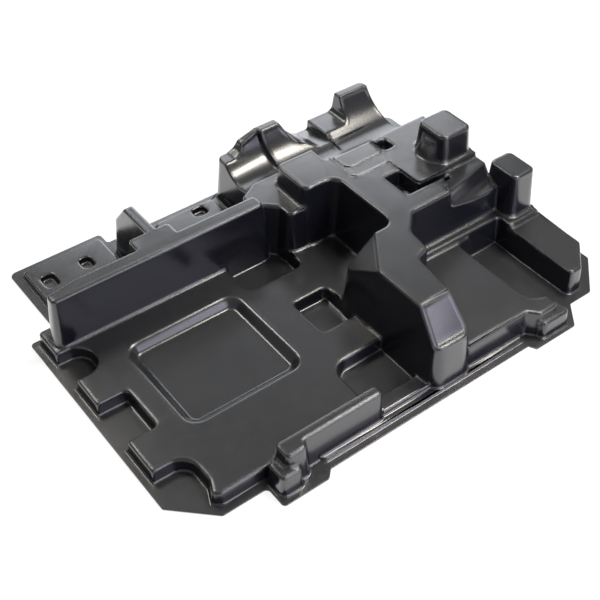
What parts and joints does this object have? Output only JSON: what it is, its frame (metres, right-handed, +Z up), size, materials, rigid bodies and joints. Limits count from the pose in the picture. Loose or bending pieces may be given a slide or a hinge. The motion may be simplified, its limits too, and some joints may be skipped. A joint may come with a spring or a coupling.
{
  "type": "packing tray",
  "caption": "Vacuum-formed plastic packing tray with a flat flange, a low floor with recesses, a tall stepped spine, a cross wall and a back saddle, open underneath.",
  "frame": {"origin": "centre of the bounding box at the underside of the flange, where the tray rests", "axes": "+X along the long side, +Y from the front edge to the saddle at the back, +Z up"},
  "size_m": [0.381, 0.2922, 0.0832],
  "materials": {
    "tray": "satin black"
  },
  "bodies": {
    "root": {"tray": "tray"}
  },
  "joints": []
}
